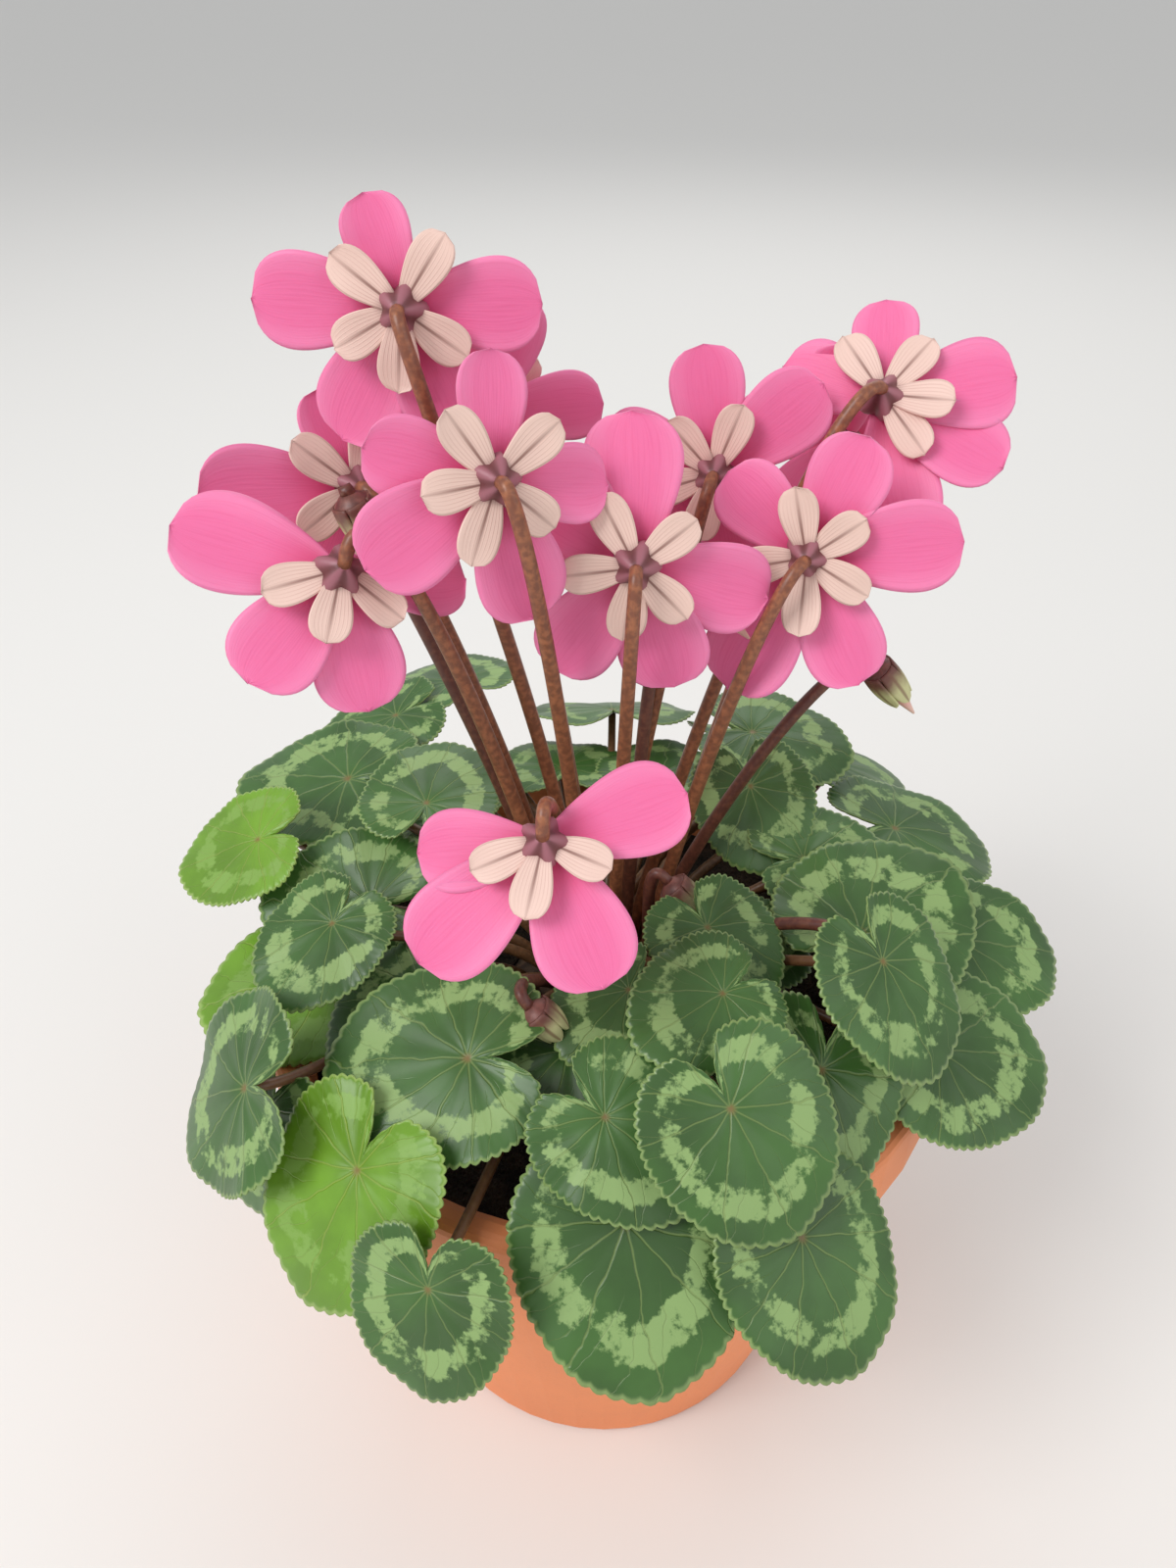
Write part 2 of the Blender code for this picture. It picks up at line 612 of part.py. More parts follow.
def main():
    clear_scene()
    group = collection("potted_cyclamen")
    cutters = collection("cutters", hidden=True)
    looks = {
        "terracotta": material("terracotta", TERRACOTTA, 0.6),
        "mix": material("potting_mix", MIX_BROWN, 0.95),
        "tuber": material("tuber", TUBER_BROWN, 0.85),
        "leaf": material("leaf_green", LEAF_GREEN, 0.42),
        "fresh": material("leaf_fresh", FRESH_GREEN, 0.42),
        "stem": material("stem_brown", STEM_BROWN, 0.4),
        "petal": material("petal_pink", PETAL_PINK, 0.5),
        "bud": material("bud_cream", BUD_CREAM, 0.5),
    }
    solids = [
        make_pot(group, cutters, looks["terracotta"]),
        make_mix(group, looks["mix"]),
        make_tuber(group, looks["tuber"]),
    ]
    bpy.context.view_layer.update()
    placed = {item.name: object_tree(item) for item in solids}

    wanted = {f"flower_{key}": (f[0], math.degrees(math.atan2(f[1][1], f[1][0]))) for key, f in FLOWERS.items()}
    wanted.update({name: (b[0], math.degrees(math.atan2(b[1][1], b[1][0]))) for name, b in BUDS.items()})
    wanted.update({name: (leaf[0], leaf[1]) for name, leaf in LEAVES.items()})
    crowns = {name: crown_point(*spot) for name, spot in spread_on_rings(wanted).items()}

    for key, flower in FLOWERS.items():
        moved = settle_flower(flower, crowns[f"flower_{key}"], placed)
        stem, head = flower_parts(moved, crowns[f"flower_{key}"])
        smooth_object(f"flower_stem_{key}", *stem, group, looks["stem"])
        make_head(f"flower_head_{key}", head, group, cutters, looks["petal"])
        placed[f"flower_stem_{key}"] = tree([stem])
        placed[f"flower_head_{key}"] = tree(head)
    for name, bud in BUDS.items():
        mesh = bud_mesh(settle_bud(bud, crowns[name], placed), crowns[name])
        smooth_object(name, *mesh, group, looks["bud"])
        placed[name] = tree([mesh])
    for name, leaf in LEAVES.items():
        moved = settle(leaf, crowns[name], placed)
        mesh = leaf_mesh(moved, crowns[name])
        smooth_object(name, *mesh, group, looks["fresh" if name in FRESH_LEAVES else "leaf"])
        placed[name] = tree([mesh])


main()
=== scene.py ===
"""Potted cyclamen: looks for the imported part, as an add-on that is run as a script."""

import math

import bmesh
import bpy
import numpy as np
from bpy.props import FloatProperty, FloatVectorProperty, IntProperty, PointerProperty
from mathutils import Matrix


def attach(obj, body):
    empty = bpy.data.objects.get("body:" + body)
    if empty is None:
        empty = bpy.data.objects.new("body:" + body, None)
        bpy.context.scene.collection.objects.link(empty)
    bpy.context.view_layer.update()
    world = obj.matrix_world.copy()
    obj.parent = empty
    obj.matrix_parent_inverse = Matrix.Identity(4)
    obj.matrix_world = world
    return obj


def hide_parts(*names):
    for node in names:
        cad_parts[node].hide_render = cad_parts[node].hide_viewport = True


bl_info = {
    "name": "Potted Cyclamen",
    "version": (1, 0, 0),
    "blender": (4, 5, 0),
    "location": "View3D > Sidebar > Cyclamen",
    "description": "Builds the leaves, flowers, buds and stage of a potted cyclamen",
    "category": "Add Mesh",
}

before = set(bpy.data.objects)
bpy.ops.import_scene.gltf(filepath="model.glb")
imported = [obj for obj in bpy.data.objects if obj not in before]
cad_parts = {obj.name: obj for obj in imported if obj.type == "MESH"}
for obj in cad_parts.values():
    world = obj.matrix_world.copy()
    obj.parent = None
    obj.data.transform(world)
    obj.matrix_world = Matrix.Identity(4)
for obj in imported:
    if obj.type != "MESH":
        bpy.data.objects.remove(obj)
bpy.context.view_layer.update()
MM = 0.001

# The tuber, as the solid model has it: lengths here are in mm, and angles in degrees
TUBER_RADIUS = 24.0
TUBER_HALF_HEIGHT = 11.0
TUBER_CENTRE = 104.0
# The start of every stem lies this near the axis, and this low
CROWN_REACH = 20.0
CROWN_TOP = 118.0
BLADE_THICKNESS = 0.9
BLADE_OUTLINE = (
    (0, 1.0), (24, 0.93), (50, 0.82), (78, 0.74),
    (106, 0.68), (134, 0.62), (160, 0.5), (180, 0.13),
)
# The visible blade is a little narrower than the solid one, and on these leaves shorter too
BLADE_EDGE = (
    (0, 1.0), (24, 0.90), (50, 0.76), (78, 0.68),
    (106, 0.65), (134, 0.61), (160, 0.5), (180, 0.13),
)
BLADE_TRIM = {
    "leaf_04": 0.86, "leaf_08": 0.82, "leaf_11": 0.78, "leaf_20": 0.86, "leaf_22": 0.76,
    "leaf_24": 0.90, "leaf_25": 0.80, "leaf_26": 0.86, "leaf_27": 0.88,
}
PETIOLE_RADII = (1.3, 1.0)
STEM_RADII = (1.45, 1.15)
# A stem ends this far behind a flower's hub, or behind a bud's
FLOWER_HOOK = 3.3
BUD_HOOK = 1.0
PETAL_THICKNESS = 0.45
SEPAL_WIDTH = 5.2
CORE_HALF = 3.6
# No sepal shows between petals that stand further apart than this
WIDE_GAP = 120

# Each leaf: azimuth, reach and height of its joint, length, heading of its tip, azimuth it faces, tilt, droop
LEAVES = {
    "leaf_01": (-117, 56, 142, 28, 178, -110, 24, 0.10),
    "leaf_02": (-159, 58, 148, 20, -125, -120, 22, 0.06),
    "leaf_03": (26, 26, 158, 20, -80, -90, 22, 0.06),
    "leaf_04": (-20, 54, 146, 34, 40, -70, 12, 0.05),
    "leaf_05": (-65, 48, 152, 19, -145, -80, 20, 0.06),
    "leaf_06": (-80, 36, 145, 18, -130, -90, 20, 0.08),
    "leaf_07": (-91, 62, 144, 22, -45, -90, 34, 0.15),
    "leaf_08": (-88, 73, 130, 37, -80, -86, 58, 0.12),
    "leaf_09": (-124, 76, 131, 27, -128, -124, 48, 0.14),
    "leaf_10": (-136, 80, 124, 27, -140, -136, 66, 0.12),
    "leaf_11": (-110, 80, 124, 28, -108, -110, 74, 0.06),
    "leaf_13": (174, 76, 146, 21, 188, -135, 28, 0.12),
    "leaf_14": (156, 68, 145, 30, 165, -140, 14, 0.10),
    "leaf_15": (132, 78, 146, 24, 200, -160, 16, 0.10),
    "leaf_16": (118, 84, 146, 26, 120, 140, 12, 0.14),
    "leaf_17": (165, 40, 154, 22, 82, -85, 8, 0.08),
    "leaf_18": (-178, 50, 142, 25, 176, -100, 18, 0.10),
    "leaf_19": (-164, 60, 135, 30, -172, -125, 28, 0.12),
    "leaf_20": (-150, 78, 124, 32, -178, -150, 46, 0.15),
    "leaf_21": (-51, 62, 137, 26, -88, -58, 42, 0.12),
    "leaf_22": (-58, 72, 130, 34, -56, -58, 60, 0.10),
    "leaf_23": (-77, 68, 138, 25, -62, -76, 46, 0.14),
    "leaf_24": (-36, 62, 141, 26, -50, -45, 38, 0.15),
    "leaf_25": (-29, 74, 128, 34, 2, -55, 30, 0.12),
    "leaf_26": (-6, 76, 134, 30, 4, -50, 24, 0.12),
    "leaf_27": (20, 72, 139, 32, 12, -10, 16, 0.14),
    "leaf_28": (42, 78, 138, 26, 24, 30, 20, 0.16),
    "leaf_29": (52, 58, 149, 25, -12, -70, 10, 0.10),
    "leaf_30": (88, 70, 140, 32, 92, 90, 22, 0.16),
}
# Leaves, a flower and buds that fill the plant out between those of the solid model
EXTRA_LEAVES = {
    "extra_leaf_01": (-50, 30, 149, 19, -60, -80, 22, 0.10),
    "extra_leaf_02": (2, 42, 146, 22, 10, -60, 14, 0.10),
    "extra_leaf_03": (-28, 30, 139, 17, -20, -60, 20, 0.10),
    "extra_leaf_04": (72, 46, 138, 24, 80, 80, 10, 0.10),
    "extra_leaf_05": (102, 50, 136, 24, 100, 100, 12, 0.10),
    "extra_leaf_06": (140, 50, 134, 24, 150, 150, 14, 0.10),
    "extra_leaf_07": (-100, 44, 137, 19, -100, -95, 24, 0.10),
    "extra_leaf_08": (-142, 46, 135, 22, -150, -120, 20, 0.10),
    "extra_leaf_09": (8, 58, 129, 24, 15, 0, 24, 0.10),
    "extra_leaf_10": (-70, 56, 127, 20, -70, -70, 34, 0.10),
    "extra_leaf_11": (160, 84, 134, 22, 165, 165, 30, 0.10),
    "extra_leaf_12": (62, 82, 130, 24, 60, 60, 30, 0.10),
}
FRESH_LEAVES = ("leaf_09", "leaf_13", "leaf_19")

# Each flower: hub, azimuth and height its back faces, side and reach of the stem's bend, forward sweep,
# and the angle and length of each petal
FLOWERS = {
    "01": ((-33, 0, 258), -92, 8, 270, 0, 4, ((12, 22), (118, 17), (187, 24), (250, 24), (300, 20))),
    "02": ((-23, 20, 236), 90, 15, 270, 0, 4, ((20, 22), (95, 24), (165, 22), (235, 20), (305, 20))),
    "03": ((-18, -20, 238), -70, 15, 300, 0, 6, ((72, 19), (150, 20), (197, 24), (272, 24), (340, 20))),
    "04": ((-44, 2, 228), -60, 20, 270, 0, 6, ((85, 17), (163, 26), (230, 20), (290, 20), (20, 18))),
    "05": ((-43, -22, 224), -60, 38, 70, 20, 8, ((350, 24), (146, 26), (215, 22), (268, 22))),
    "06": ((4, -14, 221), -92, 12, 270, 0, 4, ((83, 24), (134, 25), (225, 25), (278, 24), (333, 24))),
    "07": ((19, 14, 226), -100, 10, 270, 0, 4, ((52, 24), (110, 22), (180, 22), (240, 22), (300, 22))),
    "08": ((34, -4, 218), -105, 10, 200, 4, 4, ((22, 26), (80, 22), (150, 20), (256, 28), (309, 25))),
    "09": ((48, 12, 242), -110, 40, 200, 6, 6, ((30, 23), (110, 20), (175, 20), (300, 26), (350, 24))),
    "10": ((-11, -44, 187), -92, 50, 90, 14, 8, ((12, 25), (175, 21), (214, 28), (284, 25))),
}
EXTRA_FLOWERS = {
    "11": ((46, 34, 226), 80, 15, 270, 0, 4, ((15, 22), (85, 22), (160, 22), (230, 20), (300, 20))),
}

# Each bud: hub, azimuth and height its back faces, length
BUDS = {
    "bud_01": ((-37, -8, 230), 160, 70, 10),
    "bud_02": ((12, 2, 209), 150, 35, 11),
    "bud_03": ((52, 6, 190), 160, 50, 12),
    "bud_04": ((50, -32, 150), 170, 40, 11),
}
EXTRA_BUDS = {
    "extra_bud_01": ((13, -12, 150), 165, 45, 10),
    "extra_bud_02": ((-14, -42, 146), 175, 50, 9),
}

# How far the solid model may have moved a piece to clear its neighbours
LEAF_SHIFTS = [
    (rise, out, lean, swing)
    for rise in (0, -3, 3, -6, 6, -9, 9, 12)
    for out in (0, 3, -3, 6, 9)
    for lean in (0, -8, 8, 16, -16)
    for swing in (0, 4, -4, 8, -8)
]
FLOWER_SHIFTS = [
    (depth, drop, turn, lean)
    for depth in (0, 4, -4, 8, -8, 12, -12)
    for drop in (0, 3, -3)
    for turn in (0, 10, -10)
    for lean in (0, 8, -8)
]
BUD_SHIFTS = [
    (depth, aside, turn)
    for depth in (0, 4, -4, 8, -8, 12, -12)
    for aside in (0, 3, -3, 6, -6)
    for turn in (0, 30, -30, 60, -60)
]


class CyclamenSettings(bpy.types.PropertyGroup):
    leaf_dark: FloatVectorProperty(
        name="Leaf green", description="Colour of the leaf centre", subtype="COLOR", size=3,
        min=0, max=1, default=(0.036, 0.092, 0.018),
    )
    leaf_silver: FloatVectorProperty(
        name="Leaf marbling", description="Colour of the pale marbled ring", subtype="COLOR", size=3,
        min=0, max=1, default=(0.25, 0.38, 0.13),
    )
    leaf_fresh: FloatVectorProperty(
        name="Fresh leaf", description="Colour of the young yellow-green leaves", subtype="COLOR", size=3,
        min=0, max=1, default=(0.11, 0.23, 0.014),
    )
    petal_pink: FloatVectorProperty(
        name="Petal", description="Colour of the petals", subtype="COLOR", size=3,
        min=0, max=1, default=(0.84, 0.155, 0.36),
    )
    sepal_cream: FloatVectorProperty(
        name="Sepal", description="Colour of the pale lobes behind the petals", subtype="COLOR", size=3,
        min=0, max=1, default=(0.80, 0.56, 0.48),
    )
    terracotta: FloatVectorProperty(
        name="Pot", description="Colour of the pot", subtype="COLOR", size=3,
        min=0, max=1, default=(0.83, 0.27, 0.10),
    )
    leaf_teeth: IntProperty(
        name="Leaf teeth", description="Teeth round the edge of a leaf", default=60, min=20,
    )
    tooth_depth: FloatProperty(
        name="Tooth depth", description="Depth of the teeth round a leaf", subtype="DISTANCE", unit="LENGTH",
        default=0.0006, min=0,
    )


def settings():
    """The sizes and colours set in the panel."""
    return bpy.context.scene.cyclamen


def unit(vector):
    return vector / np.linalg.norm(vector)


def direction(azimuth, height=0.0):
    """Unit vector at an azimuth round the pot and a height above the level, in degrees."""
    a, h = math.radians(azimuth), math.radians(height)
    return np.array([math.cos(a) * math.cos(h), math.sin(a) * math.cos(h), math.sin(h)])


def node_points(name):
    """Corner points of a solid node, in millimetres."""
    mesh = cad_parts[name].data
    points = np.empty(len(mesh.vertices) * 3)
    mesh.vertices.foreach_get("co", points)
    return points.reshape(-1, 3) / MM


def nearest_total(marks, points):
    """Sum of the distances from each mark to its nearest point."""
    gaps = np.linalg.norm(marks[:, None, :] - points[None, :, :], axis=2)
    return gaps.min(axis=1).sum()


def crown_beside(place):
    """Where an extra stem leaves the tuber, on the side of the place it grows to."""
    outward = unit(np.array([place[0], place[1], 0.0])) * TUBER_RADIUS / 2
    start = outward + [0, 0, TUBER_CENTRE + TUBER_HALF_HEIGHT * math.sqrt(0.75)]
    return start, unit(outward / TUBER_RADIUS**2 + [0, 0, math.sqrt(0.75) / TUBER_HALF_HEIGHT])


def crown_of(points):
    """Middle of the ring a stem starts from, and the direction it leaves the tuber in."""
    ring = points[(np.hypot(points[:, 0], points[:, 1]) < CROWN_REACH) & (points[:, 2] < CROWN_TOP)]
    start = np.unique(np.round(ring, 3), axis=0).mean(axis=0)
    rise = np.array([*start[:2] / TUBER_RADIUS**2, (start[2] - TUBER_CENTRE) / TUBER_HALF_HEIGHT**2])
    return start, unit(rise)


def bezier(start, leave, arrive, end, steps):
    """Points along a cubic curve, its two ends included."""
    t = np.linspace(0, 1, steps + 1)[:, None]
    return (1 - t) ** 3 * start + 3 * t * (1 - t) ** 2 * leave + 3 * t**2 * (1 - t) * arrive + t**3 * end


class Build:
    """Vertices, faces and per-vertex values of one piece, in millimetres."""

    def __init__(self):
        self.points, self.faces, self.marks, self.slots = [], [], [], []

    def add(self, points, faces, marks, slot=0):
        start = len(self.points)
        self.points += [tuple(p) for p in points]
        self.faces += [tuple(start + i for i in face) for face in faces]
        self.marks += [tuple(m) for m in marks]
        self.slots += [slot] * len(faces)

    def piece(self, name, looks):
        mesh = bpy.data.meshes.new(name)
        mesh.from_pydata([(x * MM, y * MM, z * MM) for x, y, z in self.points], [], self.faces)
        mark = mesh.attributes.new("grow", "FLOAT_VECTOR", "POINT")
        mark.data.foreach_set("vector", np.array(self.marks, float).ravel())
        for look in looks:
            mesh.materials.append(look)
        mesh.polygons.foreach_set("material_index", self.slots)
        shape = bmesh.new()
        shape.from_mesh(mesh)
        bmesh.ops.recalc_face_normals(shape, faces=shape.faces)
        shape.to_mesh(mesh)
        shape.free()
        mesh.shade_smooth()
        made = bpy.data.objects.new(name, mesh)
        bpy.context.scene.collection.objects.link(made)
        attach(made, "root")
        return made

    def tube(self, path, radii, sides, first, last, mark, slot=0):
        """Closed tube along a path; mark gives the stored value from the share along it."""
        tangents = np.gradient(path, axis=0)
        tangents[0], tangents[-1] = first, last
        side = unit(np.cross(unit(tangents[0]), [0.31, 0.95, 0.05]))
        points, marks = [], []
        for index, (point, tangent, radius) in enumerate(zip(path, tangents, radii)):
            tangent = unit(tangent)
            side = unit(side - tangent * side.dot(tangent))
            other = np.cross(tangent, side)
            turns = 2 * np.pi * np.arange(sides) / sides
            points += list(point + radius * (np.outer(np.cos(turns), side) + np.outer(np.sin(turns), other)))
            marks += [mark(index / (len(path) - 1))] * sides
        faces = [tuple(range(sides))[::-1], tuple(range(len(points) - sides, len(points)))]
        for ring in range(len(path) - 1):
            for index in range(sides):
                after = (index + 1) % sides
                low, high = ring * sides, (ring + 1) * sides
                faces.append((low + index, low + after, high + after, high + index))
        self.add(points, faces, marks, slot)

    def sheet(self, place, rows, columns, thickness, slot=0):
        """Closed thin sheet: place gives a point, its normal and its stored value from two shares."""
        top, under, marks = [], [], []
        for i in range(rows + 1):
            for j in range(columns + 1):
                point, normal, mark = place(i / rows, 2 * j / columns - 1)
                top.append(point + normal * thickness / 2)
                under.append(point - normal * thickness / 2)
                marks.append(mark)
        width, total = columns + 1, len(top)
        faces = []
        for i in range(rows):
            for j in range(columns):
                corner = [i * width + j, (i + 1) * width + j, (i + 1) * width + j + 1, i * width + j + 1]
                faces.append(tuple(corner))
                faces.append(tuple(total + k for k in reversed(corner)))
        rim = [j for j in range(columns)] + [i * width + columns for i in range(rows)]
        rim += [rows * width + j for j in range(columns, 0, -1)] + [i * width for i in range(rows, 0, -1)]
        for k, low in enumerate(rim):
            after = rim[(k + 1) % len(rim)]
            faces.append((low, after, total + after, total + low))
        self.add(top + under, faces, marks * 2, slot)


def blade_frame(heading, face, tilt):
    """Directions of a blade's tip, its left side and its upper face."""
    normal = direction(face, 90 - tilt)
    tip = direction(heading)
    tip = unit(tip - normal * tip.dot(normal))
    return tip, np.cross(normal, tip), normal


def shifted_leaf(leaf, shift):
    azimuth, reach, height, length, heading, face, tilt, droop = leaf
    rise, out, lean, swing = shift
    return azimuth + swing, reach + out, height + rise, length, heading, face, tilt + lean, droop


def blade_point(leaf, angle, radius, lift=0.0):
    azimuth, reach, height, length, heading, face, tilt, droop = leaf
    junction = direction(azimuth) * reach + np.array([0, 0, height])
    tip, left, normal = blade_frame(heading, face, tilt)
    along = radius * math.cos(math.radians(angle))
    across = radius * math.sin(math.radians(angle))
    sag = droop * max(along, 0) ** 2 / length + 0.10 * across**2 / length
    return junction + tip * along + left * across + normal * (lift - sag)


def leaf_in_place(name):
    """The leaf's row, moved as the solid model moved it."""
    points = node_points(name)
    leaf = LEAVES[name]

    def miss(shift):
        moved = shifted_leaf(leaf, shift)
        marks = [blade_point(moved, a, r * moved[3], BLADE_THICKNESS / 2) for a, r in BLADE_OUTLINE[:-1]]
        return nearest_total(np.array(marks), points)

    return shifted_leaf(leaf, min(LEAF_SHIFTS, key=miss)), points


def blade_mesh(build, leaf, trim, dice):
    """The blade: a toothed heart with folds along its veins, and a thin underside."""
    length = leaf[3] * trim
    rays, rings = 240, 18
    teeth, depth = settings().leaf_teeth, settings().tooth_depth / MM
    phase, wave = dice.uniform(0, 2 * np.pi), dice.uniform(0.5, 1.1)
    angles = 360.0 * np.arange(rays) / rays - 180.0
    turned = np.radians(angles)
    knots = np.array(BLADE_EDGE)
    edge = np.interp(np.abs(angles), knots[:, 0], knots[:, 1])
    for _ in range(6):
        inner = np.abs(angles) < 160
        edge = np.where(inner, (np.roll(edge, 1) + edge * 2 + np.roll(edge, -1)) / 4, edge)
    edge = edge * length + np.abs(np.sin(turned * teeth / 2)) * depth
    tip, left, normal = blade_frame(*leaf[4:7])
    middle = blade_point(leaf, 0, 0)
    points, marks = [], []
    for side in (0.3, -0.3):
        points.append(middle + normal * (side - 0.5))
        marks.append((0, 0, 0))
        for ring in range(1, rings + 1):
            share = (ring / rings) ** 0.9
            along, across = share * edge * np.cos(turned), share * edge * np.sin(turned)
            fold = 0.22 * np.cos(turned * 11) * share * (1 - share * 0.4)
            ruffle = np.sin(turned * 5 + phase) * wave * share**3 * length / 28
            dish = -0.5 * np.exp(-((share * edge / 2.2) ** 2))
            sag = leaf[7] * np.maximum(along, 0) ** 2 / length + 0.10 * across**2 / length
            lift = side * (1.0 if ring < rings else 0.5) + fold + ruffle + dish - sag
            points += list(middle + np.outer(along, tip) + np.outer(across, left) + np.outer(lift, normal))
            marks += list(zip(along / length, across / length, np.full(rays, share)))
    under = 1 + rings * rays
    faces = []
    for k in range(rays):
        after = (k + 1) % rays
        for start, turn in ((0, 1), (under, -1)):
            faces.append((start, start + 1 + k, start + 1 + after)[::turn])
            for ring in range(rings - 1):
                low, high = start + 1 + ring * rays, start + 1 + (ring + 1) * rays
                faces.append((low + k, high + k, high + after, low + after)[::turn])
        high, low = 1 + (rings - 1) * rays, under + 1 + (rings - 1) * rays
        faces.append((high + k, low + k, low + after, high + after))
    build.add(points, faces, marks, 0)


def make_leaf(name, looks, index):
    """One leaf: its blade, and its petiole from the tuber."""
    dice = np.random.default_rng(100 + index)
    build = Build()
    if name in LEAVES:
        leaf, points = leaf_in_place(name)
        start, rise = crown_of(points)
    else:
        leaf = EXTRA_LEAVES[name]
        start, rise = crown_beside(direction(leaf[0]))
    blade_mesh(build, leaf, BLADE_TRIM.get(name, 1.0), dice)
    normal = blade_frame(*leaf[4:7])[2]
    arrival = unit(normal * 0.9 + direction(leaf[0]) * 0.45)
    end = blade_point(leaf, 0, 0, -1.0)
    span = np.linalg.norm(end - start)
    path = bezier(start, start + unit(rise + [0, 0, 0.6]) * span * 0.42, end - arrival * span * 0.33, end, 18)
    radii = np.linspace(*PETIOLE_RADII, 19)
    build.tube(path, radii, 10, rise, normal, lambda share: (share, 0, 0), 1)
    made = build.piece(f"{name}_blade", looks)
    if name in LEAVES:
        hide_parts(name)


def head_frame(back):
    """Two directions across a flower or bud, and the one that points back to its stem."""
    side = unit(np.cross([0, 0, 1.0], back))
    return side, np.cross(back, side), back


def round_head(axes, angle):
    """Direction out from the hub at an angle in degrees, and the one across it."""
    cosine, sine = math.cos(math.radians(angle)), math.sin(math.radians(angle))
    return axes[0] * cosine + axes[1] * sine, -axes[0] * sine + axes[1] * cosine


def shifted_flower(flower, shift):
    """A flower's row, moved back, dropped, turned and swept by a shift."""
    hub, azimuth, height, bend, over, forward, petals = flower
    depth, drop, turn, lean = shift
    place = (hub[0], hub[1] + depth, hub[2] - drop - depth * 0.7)
    return place, azimuth, height, bend, over, forward + lean, tuple((a + turn, r) for a, r in petals)


def flower_in_place(key):
    """The flower's row, moved as the solid model moved it."""
    points = node_points(f"flower_head_{key}")

    def miss(shift):
        hub, azimuth, height, _, _, forward, petals = shifted_flower(FLOWERS[key], shift)
        axes = head_frame(direction(azimuth, height))
        slope = math.tan(math.radians(forward))
        marks = [np.array(hub) - axes[2] * 4.2]
        for angle, length in petals:
            spoke = round_head(axes, angle)[0]
            marks.append(np.array(hub) + spoke * length * 0.98 + axes[2] * (-1.4 - slope * length))
        return nearest_total(np.array(marks), points)

    return shifted_flower(FLOWERS[key], min(FLOWER_SHIFTS, key=miss))


def stem_path(crown, hub, back, hook, bend, over, steps):
    """Line of a stem from the tuber, hooked over to reach the hub from behind."""
    start, rise = crown
    end = hub + back * hook
    span = np.linalg.norm(end - start)
    lift = unit(rise * 0.5 + unit(end - start) + [0, 0, 0.6])
    aside = round_head(head_frame(back), bend)[0]
    sweep = back * (9.0 + hook) + aside * over + np.array([0, 0, 2.0])
    return bezier(start, start + lift * span * 0.45, end + sweep, end, steps)


def petal_place(hub, axes, angle, length, width, forward, curl, lift, twist):
    """Function from shares along and across a petal to its point, normal and stored value."""
    spoke, cross = round_head(axes, angle)
    back = axes[2]
    slope = math.tan(math.radians(forward))

    def place(along, across):
        reach = length * (0.05 + 0.95 * along)
        half = width * (0.16 + 0.84 * along**0.8) * max(1 - along**3.2, 0) ** 0.5
        sway = across * half
        bow = -slope * reach + curl * along**2 + 0.055 * sway**2 / max(width, 1) * 2 + twist * sway * along
        ripple = 0.35 * math.sin(along * 7 + angle) * across * along
        point = hub + spoke * reach + cross * sway + back * (lift + bow + ripple)
        return point, back, (along, across, angle)

    return place


def add_petals(build, hub, axes, petals, forward, dice):
    """Every petal as a thin sheet of its own, with each second one a little further forward."""
    for k, (angle, length) in enumerate(petals):
        width = length * dice.uniform(0.44, 0.54)
        lift = -1.6 - 0.35 * (k % 2)
        curl, twist = dice.uniform(-1.5, 2.0), dice.uniform(-0.25, 0.25)
        place = petal_place(hub, axes, angle, length, width, forward, curl, lift, twist)
        build.sheet(place, 26, 16, PETAL_THICKNESS, 0)


def add_sepals(build, hub, axes, petals, forward, dice):
    """One sepal in the middle of each gap between two petals that isn't too wide."""
    turns = sorted(angle % 360 for angle, _ in petals)
    gaps = [(low, (high - low) % 360) for low, high in zip(turns, turns[1:] + turns[:1])]
    for k, (low, gap) in enumerate(g for g in gaps if g[1] < WIDE_GAP):
        length, curl = dice.uniform(11.5, 13.5), dice.uniform(-1, 1)
        lift = 0.7 + 0.3 * (k % 2)
        place = petal_place(hub, axes, low + gap / 2, length, SEPAL_WIDTH, forward - 6, curl, lift, 0.0)
        build.sheet(place, 18, 12, PETAL_THICKNESS, 1)


def add_core(build, hub, axes):
    """The knobbly five-lobed swelling between the stem and the petals."""
    sides, rings = 30, 14
    points, marks = [], []
    for ring in range(rings + 1):
        t = ring / rings
        along = CORE_HALF * (2 * t - 1)
        swell = (1.2 + 3.0 * math.sin(math.pi * min(t * 1.02, 1)) ** 0.7) * (1 - 0.25 * t)
        for k in range(sides):
            lobe = math.cos(5 * 2 * math.pi * k / sides)
            knob = 1 + 0.2 * lobe * math.sin(math.pi * t)
            points.append(hub + axes[2] * along + round_head(axes, 360 * k / sides)[0] * swell * knob)
            marks.append((t, lobe, 0))
    faces = [tuple(range(sides))[::-1], tuple(range(rings * sides, (rings + 1) * sides))]
    for ring in range(rings):
        for k in range(sides):
            after = (k + 1) % sides
            low, high = ring * sides, (ring + 1) * sides
            faces.append((low + k, low + after, high + after, high + k))
    build.add(points, faces, marks, 2)


